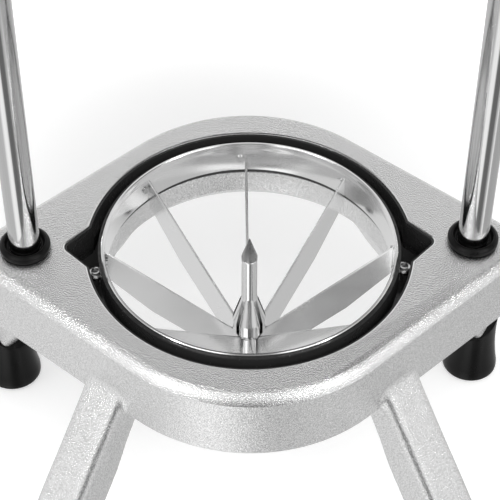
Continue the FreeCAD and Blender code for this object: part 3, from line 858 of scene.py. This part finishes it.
    def bar(self, bench: Bench, name: str, foot: Vector, top: Vector) -> bpy.types.Object:
        """Model a leg's bar, cut back where it would show inside the platform.

        Args:
            bench: The modelling tools.
            name: The bar's name.
            foot: The lower point of its axis.
            top: The upper one.

        Returns:
            The bar.
        """
        along = (top - foot).normalized()
        across = UP.cross(along).normalized()
        under = across.cross(along)
        turn = Matrix((across, along.cross(across), along)).transposed().to_4x4()
        length = (top - foot).length + self.hidden_bar
        bpy.ops.mesh.primitive_cube_add(size=1)
        bar = bench.started(name)
        bar.scale = (self.leg_width, self.leg_thickness, length)
        bench.settle(bar)
        bench.soften(bar, self.leg_round, segments=5)
        bar.matrix_world = Matrix.Translation(foot + along * (length / 2)) @ turn
        bench.settle(bar)
        outward = Vector((top.x, top.y, 0)).normalized()
        bench.sliced(bar, UP * (self.underside + self.bar_cover), UP)
        bench.sliced(bar, outward * self.bore_clear, -outward)
        relief = top + under * (self.leg_thickness / 2 - self.root_relief)
        tilt = self.root_relief / self.relief_length
        return bench.sliced(bar, relief, (under + along * tilt).normalized())

    def chunk(self, bench: Bench, corner: tuple[int, int]) -> bpy.types.Object:
        """Copy the corner of the platform that a leg grows from, a little under its surface.

        Args:
            bench: The modelling tools.
            corner: The signs of the leg's X and Y.

        Returns:
            The chunk.
        """
        side, end = corner
        chunk = bench.copied("platform_casting", "chunk")
        bench.modify(chunk, "DISPLACE", strength=-self.sink, mid_level=0.0)
        bench.sliced(chunk, Vector((side * self.chunk_from[0], 0, 0)), Vector((-side, 0, 0)))
        bench.sliced(chunk, Vector((0, end * self.chunk_from[1], 0)), Vector((0, -end, 0)))
        return bench.sliced(chunk, UP * (self.top - self.rim_round - self.chunk_below), UP)


@dataclass
class Feet:
    """Four rubber boots, each cut off square to its leg."""

    bottom: float = 13.8 * MM
    waist: float = 11.2 * MM
    waist_place: float = 0.6
    mouth: float = 12.0 * MM
    height: float = 48 * MM
    edge: float = 1.5 * MM
    lip: float = 4.0 * MM
    pole: float = 0.2 * MM
    rings: int = 16
    facets: int = 64
    mouth_round: float = 0.7 * MM

    def profile(self) -> Outline:
        """Work out the boot's outline, narrow at the waist and flared at both ends.

        Returns:
            Its points of (radius, height).
        """
        points = [(self.pole, 0.0), (self.bottom - self.edge, 0.0), (self.bottom, self.edge)]
        for ring in range(self.rings + 1):
            share = ring / self.rings
            height = self.lip + share * (self.height - self.lip)
            below = max(0.0, 1 - share / self.waist_place)
            above = max(0.0, (share - self.waist_place) / (1 - self.waist_place))
            flare = (self.bottom - self.waist) * below**2 + (self.mouth - self.waist) * above**2
            points.append((self.waist + flare, height))
        return points + [(self.pole, self.height)]

    def build(self, bench: Bench, platform: Platform) -> None:
        """Model the boots round the legs' lower ends.

        Args:
            bench: The modelling tools.
            platform: The platform, which knows the legs' axes.
        """
        for name, corner in CORNERS.items():
            foot, top = platform.axis(corner)
            boot = bench.turned(f"boot_{name}", self.profile(), (foot.x, foot.y), self.facets)
            bench.sliced(boot, foot, (top - foot).normalized())
            bench.soften(boot, self.mouth_round, angle=40)
            bench.shade(boot, 50)
            bench.finish(boot, Slot.RUBBER, Body.STAND, f"foot_{name}")


@dataclass
class Rods:
    """Guide rods with what sits on them."""

    bore: float = 6.15 * MM
    foot_edge: float = 0.5 * MM
    shoulder: tuple[float, float] = (1.3 * MM, 1.1 * MM)
    mouth: float = 7.8 * MM
    mouth_drop: float = 0.05 * MM
    dish: float = 0.8 * MM
    seat: float = 1.3 * MM
    lip: float = 0.5 * MM
    cap_round: float = 0.5 * MM
    liner_round: float = 0.3 * MM

    def build(self, bench: Bench) -> None:
        """Dress the rods, and model what sits on them.

        Args:
            bench: The modelling tools.
        """
        for side_name in SIDES:
            self.bumper(bench, side_name)
            bench.keep(Slot.ROD, f"guide_rod_{side_name}")
            bench.keep(Slot.RUBBER, f"rod_buffer_{side_name}")
            cap = bench.copied(f"rod_cap_{side_name}", f"cap_{side_name}")
            bench.soften(cap, self.cap_round)
            bench.shade(cap, 40)
            bench.finish(cap, Slot.PLATED, Body.STAND, f"rod_cap_{side_name}")
        bench.keep(Slot.PLATED, "rod_washers", "rod_nuts")
        liner = bench.copied("bore_liner", "lacquered_liner")
        bench.soften(liner, self.liner_round, angle=40)
        bench.shade(liner, 40)
        bench.finish(liner, Slot.LACQUER, Body.STAND, "bore_liner")

    def bumper(self, bench: Bench, side_name: str) -> None:
        """Model one bumper, dished round its rod.

        Args:
            bench: The modelling tools.
            side_name: The side that its rod is on.
        """
        low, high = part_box(f"bumper_{side_name}")
        radius = (high.x - low.x) / 2
        profile = [
            (self.bore, low.z),
            (radius - self.foot_edge, low.z),
            (radius, low.z + self.foot_edge),
            (radius, high.z - self.shoulder[1]),
            (radius - self.shoulder[0], high.z),
            (self.mouth, high.z - self.mouth_drop),
            (self.mouth - self.dish, low.z + self.seat),
            (self.bore, low.z + self.seat),
            (self.bore, low.z),
        ]
        centre = ((low.x + high.x) / 2, 0.0)
        bumper = bench.turned(f"rubber_bumper_{side_name}", profile, centre)
        bench.soften(bumper, self.lip, segments=4, angle=20)
        bench.shade(bumper, 50)
        bench.finish(bumper, Slot.RUBBER, Body.STAND, f"bumper_{side_name}")


@dataclass
class Cartridge:
    """The drop-in cutting ring."""

    grind: float = 0.32 * MM
    corner: float = 4.5 * MM
    corner_slope: float = 1.2
    wall: float = 1.2 * MM
    raised: float = 0.5 * MM
    lip: float = 0.3 * MM
    swell: float = 0.3 * MM
    swell_steps: int = 16
    groove: float = 0.14 * MM
    groove_step: int = 2
    band_facets: int = 160
    carrier_round: float = 0.45 * MM
    point: float = 9.4 * MM
    point_bulge: tuple[float, float] = (0.6, 0.42)
    point_pole: float = 0.2 * MM
    point_facets: int = 48
    neck_drop: float = 1.3 * MM
    neck_groove: tuple[float, float] = (0.15 * MM, 0.2 * MM)
    screw_growth: float = 1.5
    screw_socket: tuple = ((0.3, 0.35), (0.45, 0.45), (0.45, 0.9))
    screw_dome: float = 28
    screw_side: float = 0.3
    screw_steps: int = 8
    screw_facets: int = 40

    def build(self, bench: Bench) -> None:
        """Dress the ring and model its blades.

        Args:
            bench: The modelling tools.
        """
        self.band(bench)
        for step, name in enumerate(BLADES):
            self.blade(bench, name, step * PITCH)
        carrier = bench.copied("blade_carrier", "lacquered_carrier")
        bench.soften(carrier, self.carrier_round, angle=40)
        bench.shade(carrier, 45)
        bench.finish(carrier, Slot.LACQUER, Body.CARTRIDGE, "blade_carrier")
        self.screws(bench)
        bench.keep(Slot.STAINLESS, "blade_rivets", "coring_post")
        self.tip(bench)

    def blade(self, bench: Bench, name: str, turn: float) -> None:
        """Grind one blade, and cut off its lower outer corner.

        Args:
            bench: The modelling tools.
            name: The blade's name.
            turn: The angle from +X at which it stands.
        """
        blade = bench.tidied(f"blade_{name}", f"ground_blade_{name}")
        outward = Vector((math.cos(turn), math.sin(turn), 0))
        points = [vertex.co.copy() for vertex in blade.data.vertices]
        rim = max(point.dot(outward) for point in points)
        foot = min(point.z for point in points if point.dot(outward) > rim - MM)
        place = outward * rim + UP * (foot + self.corner)
        bench.sliced(blade, place, (outward * self.corner_slope - UP).normalized())
        bench.soften(blade, self.grind, segments=1, angle=60)
        bench.finish(blade, Slot.BLADE, Body.CARTRIDGE, f"blade_{name}")

    def band(self, bench: Bench) -> None:
        """Model the rolled band, whose wall swells a little towards its middle.

        Args:
            bench: The modelling tools.
        """
        low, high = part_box("blade_band")
        outer, inner = high.x, high.x - self.wall
        bottom, top, lip = low.z + self.raised, high.z, self.lip
        profile = [(inner + lip, bottom), (outer - lip, bottom), (outer, bottom + lip)]
        profile += [(outer, top - lip), (outer - lip, top), (inner + lip, top)]
        for step in range(self.swell_steps + 1):
            share = step / self.swell_steps
            swell = self.swell * (1 - (2 * share - 1) ** 2)
            groove = self.groove if step == self.groove_step else 0.0
            drop = lip + share * (top - bottom - 2 * lip)
            profile.append((inner - swell + groove, top - drop))
        profile.append(profile[0])
        band = bench.turned("ring_band", profile, steps=self.band_facets)
        bench.shade(band, 30)
        bench.finish(band, Slot.STAINLESS, Body.CARTRIDGE, "blade_band")

    def tip(self, bench: Bench) -> None:
        """Model the post's dark point, with the bright neck under it.

        Args:
            bench: The modelling tools.
        """
        low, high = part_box("coring_tip")
        radius = high.x
        collar = high.z - self.point
        neck = collar - self.neck_drop
        depth, half = self.neck_groove
        wide, tall = self.point_bulge
        profile = [(radius, low.z), (radius, neck - half), (radius - depth, neck)]
        profile += [(radius, neck + half), (radius, collar)]
        profile += [(radius * wide, collar + tall * self.point), (self.point_pole, high.z)]
        tip = bench.turned("post_tip", profile, steps=self.point_facets)
        bench.shade(tip, 25)
        bench.finish(tip, Slot.POINT, Body.CARTRIDGE, "coring_tip")
        tip.data.materials.append(bench.paintbox.material(Slot.STAINLESS))
        for face in tip.data.polygons:
            face.material_index = int(face.center.z < neck)

    def screws(self, bench: Bench) -> None:
        """Model the two domed screw heads, each with a socket, as one piece.

        Args:
            bench: The modelling tools.
        """
        low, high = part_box("carrier_screws")
        radius = self.screw_growth * (high.y - low.y) / 2
        height = high.z - low.z
        profile = [(wide * radius, low.z + tall * height) for wide, tall in self.screw_socket]
        for step in range(self.screw_steps + 1):
            share = step / self.screw_steps
            turn = math.radians(self.screw_dome + share * (90 - self.screw_dome))
            rise = self.screw_side + (1 - self.screw_side) * math.cos(turn)
            profile.append((radius * math.sin(turn), low.z + height * rise))
        profile += [(radius, low.z), (self.screw_socket[0][0] * radius, low.z)]
        middle = (low.y + high.y) / 2
        heads = [
            bench.turned("carrier_screw_heads", profile, (x, middle), self.screw_facets)
            for x in (low.x + radius, high.x - radius)
        ]
        bench.take(heads[0])
        heads[1].select_set(True)
        bpy.ops.object.join()
        bench.shade(heads[0], 40)
        bench.finish(heads[0], Slot.PLATED, Body.CARTRIDGE, "carrier_screws")


@dataclass
class Carriage:
    """The sliding casting with its pusher and handles."""

    voxel: float = 0.9 * MM
    skin_rounds: int = 8
    moulding_round: float = 0.7 * MM
    collar: tuple = (
        (6 * MM, 0.0),
        (14.6 * MM, 0.0),
        (15.5 * MM, 1 * MM),
        (15.5 * MM, 3.2 * MM),
        (14.2 * MM, 4.6 * MM),
        (12 * MM, 8 * MM),
    )
    ribs: int = 22
    rib_depth: float = 0.7 * MM
    rib_from: float = 10 * MM
    rib_parts: tuple = ((0.0, 0), (0.3, 0), (0.5, 1), (0.8, 1))
    waist: float = 11.9 * MM
    belly: float = 2.1 * MM
    belly_power: float = 1.3
    knob: tuple = (
        (12 * MM, 14 * MM),
        (13 * MM, 9 * MM),
        (13 * MM, 2.4 * MM),
        (12.3 * MM, 0.8 * MM),
        (10.5 * MM, 0.0),
        (0.3 * MM, 0.0),
    )
    grip_facets: int = 64

    def build(self, bench: Bench) -> None:
        """Model the casting, the pusher and the handles.

        Args:
            bench: The modelling tools.
        """
        casting = bench.copied("carriage_casting", "cast_carriage")
        bench.modify(casting, "REMESH", mode="VOXEL", voxel_size=self.voxel)
        bench.modify(casting, "SMOOTH", factor=0.5, iterations=self.skin_rounds)
        bench.shade(casting, 60)
        bench.finish(casting, Slot.CAST, Body.CARRIAGE, "carriage_casting")
        for side_name, side in SIDES.items():
            bench.keep(Slot.BEARING, f"bushing_{side_name}")
            bench.keep(Slot.ROD, f"handle_bar_{side_name}")
            self.grip(bench, side_name, side)
        bench.keep(Slot.PLATED, "handle_nuts", "pusher_screws")
        fingers = [f"pusher_finger_{count + 1}" for count in range(len(BLADES))]
        for node in ["pusher_plate"] + fingers:
            piece = bench.tidied(node, f"moulded_{node}")
            bench.soften(piece, self.moulding_round, angle=35)
            bench.shade(piece, 40)
            bench.finish(piece, Slot.PUSHER, Body.CARRIAGE, node)

    def grip_profile(self, length: float) -> Outline:
        """Work out a grip's outline: a collar, a ribbed belly and a knob.

        Args:
            length: The grip's length.

        Returns:
            Its points of (radius, distance from the collar's end).
        """
        start, stop = self.rib_from, length - self.knob[0][1]
        profile = list(self.collar)
        for rib in range(self.ribs):
            for part, sunk in self.rib_parts:
                share = (rib + part) / self.ribs
                radius = self.waist + self.belly * math.sin(math.pi * share) ** self.belly_power
                profile.append((radius - sunk * self.rib_depth, start + share * (stop - start)))
        return profile + [(radius, length - before) for radius, before in self.knob]

    def grip(self, bench: Bench, side_name: str, side: int) -> None:
        """Model one ribbed grip, turned upright and then laid along X.

        Args:
            bench: The modelling tools.
            side_name: The side that it is on.
            side: -1 for the left and 1 for the right.
        """
        low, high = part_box(f"handle_grip_{side_name}")
        profile = self.grip_profile(high.x - low.x)
        grip = bench.turned(f"ribbed_grip_{side_name}", profile, steps=self.grip_facets)
        place = Vector((low.x if side > 0 else high.x, 0, (low.z + high.z) / 2))
        turn = Matrix.Rotation(side * math.pi / 2, 4, "Y")
        grip.matrix_world = Matrix.Translation(place) @ turn
        bench.settle(grip)
        bench.shade(grip, 40)
        bench.finish(grip, Slot.GRIP, Body.CARRIAGE, f"handle_grip_{side_name}")


@dataclass(frozen=True)
class Panel:
    """A soft-edged bright or dark panel of the room, which only gloss and metal show.

    Azimuth 0 is behind the press, seen from the camera, and 90 is on its right. The panel has its
    full level within the inner angle of its middle, and none of it past the outer one. All angles
    are in degrees.
    """

    name: str
    azimuth: float
    elevation: float
    inner: float
    outer: float
    level: float

    def direction(self) -> Vector:
        """Work out the way from the press to the panel's middle.

        Returns:
            That way, one long.
        """
        turn, rise = math.radians(self.azimuth), math.radians(self.elevation)
        flat = math.cos(rise)
        return Vector((flat * math.sin(turn), flat * math.cos(turn), math.sin(rise)))


PANELS = (
    Panel("floor", 0, -90, 60, 96, 0.74),
    Panel("floor_left", -100, -42, 18, 50, 0.72),
    Panel("floor_right", 95, -42, 22, 48, 0.56),
    Panel("floor_front_left", -156, -43, 5, 18, 1.35),
    Panel("floor_gap", 168, -40, 10, 17, 0.2),
    Panel("floor_front_right", 134, -43, 1, 6, 1.3),
    Panel("dim_ceiling", 0, 73, 23, 28.5, 0.05),
    Panel("left_shade", -85, 43, 14, 28, 0.4),
    Panel("right_shade", 85, 43, 14, 28, 0.25),
    Panel("front_left_softbox", -140, 40, 12, 24, 1.6),
    Panel("front_right_softbox", 140, 40, 12, 24, 1.6),
    Panel("camera_gap", 178, 48, 10, 20, 0.3),
    Panel("front_horizon", 180, 2, 16, 32, 0.12),
    Panel("left_key", -125, 37, 1.5, 4, 22),
    Panel("right_key", 125, 37, 1.5, 4, 22),
)


@dataclass(frozen=True)
class Softbox:
    """A square lamp that lights what is matt and casts the soft shadows."""

    name: str
    place: tuple[float, float, float]
    size: float
    power: float

    def hang(self, aim: Vector) -> None:
        """Hang the lamp and turn it towards a point.

        Args:
            aim: The point.
        """
        bpy.ops.object.light_add(type="AREA", location=self.place)
        lamp = bpy.context.object
        lamp.name = self.name
        lamp.data.shape = "SQUARE"
        lamp.data.size = self.size
        lamp.data.energy = self.power
        lamp.visible_glossy = False
        lamp.rotation_euler = (aim - Vector(self.place)).to_track_quat("-Z", "Y").to_euler()


SOFTBOXES = (
    Softbox("overhead_box", (0.0, 0.2, 1.5), 1.2, 1.5),
    Softbox("front_box", (0.1, -1.0, 1.25), 0.7, 15.0),
    Softbox("left_box", (-1.3, -0.3, 0.9), 0.9, 2.5),
    Softbox("right_box", (1.3, -0.3, 0.9), 0.9, 2.0),
)


@dataclass
class Studio:
    """Camera, floor, lamps and the room that gloss and metal show."""

    eye: tuple[float, float, float] = (-13.9 * MM, -463.1 * MM, 688.4 * MM)
    target: tuple[float, float, float] = (0.07 * MM, -3.53 * MM, 212 * MM)
    roll: float = math.radians(0.3)
    lens: float = 124.5
    sensor: float = 36.0
    ambient: float = 0.5
    room: float = 0.86
    floor_size: float = 30
    floor_tone: float = 0.84
    floor_roughness: float = 0.9
    floor_glow: float = 0.25
    # Painted shadow on the floor: the glow rises by this much from a spot behind the press out to the
    # edge of the range of distances round it, so the floor near the spot is darker.
    glow_outside_painted_shadow: float = 0.4
    painted_shadow_centre: tuple[float, float, float] = (0.0, 0.2, 0.0)
    painted_shadow_range: tuple[float, float] = (0.1, 0.28)
    clip_start: float = 0.01

    def build(self) -> None:
        """Set up the studio."""
        self.camera()
        self.floor()
        self.world()
        for softbox in SOFTBOXES:
            softbox.hang(Vector(self.target))
        bpy.context.scene.view_settings.view_transform = "Standard"

    def camera(self) -> None:
        """Place the camera as the photograph was taken."""
        eye = Vector(self.eye)
        forward = (Vector(self.target) - eye).normalized()
        right = forward.cross(UP).normalized()
        above = right.cross(forward)
        turn = Matrix((right, above, -forward)).transposed()
        turn = turn @ Matrix.Rotation(self.roll, 3, "Z")
        bpy.ops.object.camera_add()
        camera = bpy.context.object
        camera.matrix_world = Matrix.Translation(eye) @ turn.to_4x4()
        camera.data.lens = self.lens
        camera.data.sensor_width = self.sensor
        camera.data.clip_start = self.clip_start
        bpy.context.scene.camera = camera

    def floor(self) -> None:
        """Lay a pale floor that the camera sees as white where no shadow falls.

        The part that is seen through the ring glows less, as it does in the photograph: this is a
        painted shadow, a darker patch of floor round a spot behind the press.
        """
        bpy.ops.mesh.primitive_plane_add(size=self.floor_size)
        floor = bpy.context.object
        floor.name = "floor"
        recipe = Recipe("floor")
        rays = recipe.node("ShaderNodeLightPath")
        camera_ray = Value(recipe.tree, rays.outputs["Is Camera Ray"])
        # Painted shadow: the glow drops round a spot behind the press, so the floor there is darker.
        away = recipe.node(
            "ShaderNodeVectorMath", {"operation": "DISTANCE"}, Vector=recipe.coordinates
        )
        away.inputs[1].default_value = self.painted_shadow_centre
        distance = Value(recipe.tree, away.outputs["Value"])
        glow_with_painted_shadow = distance.eased(*self.painted_shadow_range) * self.glow_outside_painted_shadow + self.floor_glow
        recipe.principled(
            Base_Color=(*grey(self.floor_tone), 1),
            Roughness=self.floor_roughness,
            Specular_IOR_Level=0.0,
            Emission_Color=(1, 1, 1, 1),
            Emission_Strength=glow_with_painted_shadow * camera_ray,
        )
        floor.data.materials.append(recipe.material)
        floor.visible_glossy = False

    def world(self) -> None:
        """Fill the room with plain light, and lay the panels into what gloss shows of it."""
        world = bpy.data.worlds.new("room")
        bpy.context.scene.world = world
        world.use_nodes = True
        tree = world.node_tree
        tree.nodes.clear()
        around = tree.nodes.new("ShaderNodeTexCoord").outputs["Generated"]
        seen: Value | float = self.room
        for panel in PANELS:
            facing = tree.nodes.new("ShaderNodeVectorMath")
            facing.operation = "DOT_PRODUCT"
            tree.links.new(around, facing.inputs[0])
            facing.inputs[1].default_value = panel.direction()
            share = Value(tree, facing.outputs["Value"]).eased(
                math.cos(math.radians(panel.outer)), math.cos(math.radians(panel.inner))
            )
            seen = seen + share * (panel.level - seen)
        rays = tree.nodes.new("ShaderNodeLightPath")
        glossy_ray = Value(tree, rays.outputs["Is Glossy Ray"])
        white_ray = Value(tree, rays.outputs["Is Camera Ray"]) + Value(
            tree, rays.outputs["Is Transmission Ray"]
        )
        plain = self.ambient + white_ray * (1 - self.ambient)
        light = tree.nodes.new("ShaderNodeBackground")
        light.inputs["Color"].default_value = (1, 1, 1, 1)
        strength = plain + glossy_ray * (seen - plain)
        tree.links.new(strength.socket, light.inputs["Strength"])
        output = tree.nodes.new("ShaderNodeOutputWorld")
        tree.links.new(light.outputs[0], output.inputs["Surface"])


def main() -> None:
    """Build the press round its frame."""
    logging.basicConfig(level=logging.INFO, format="%(message)s")
    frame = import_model()
    bench = Bench(frame, Paintbox())
    Studio().build()
    platform = Platform()
    platform.build(bench)
    Feet().build(bench, platform)
    Rods().build(bench)
    Cartridge().build(bench)
    Carriage().build(bench)


if __name__ == "__main__":
    main()
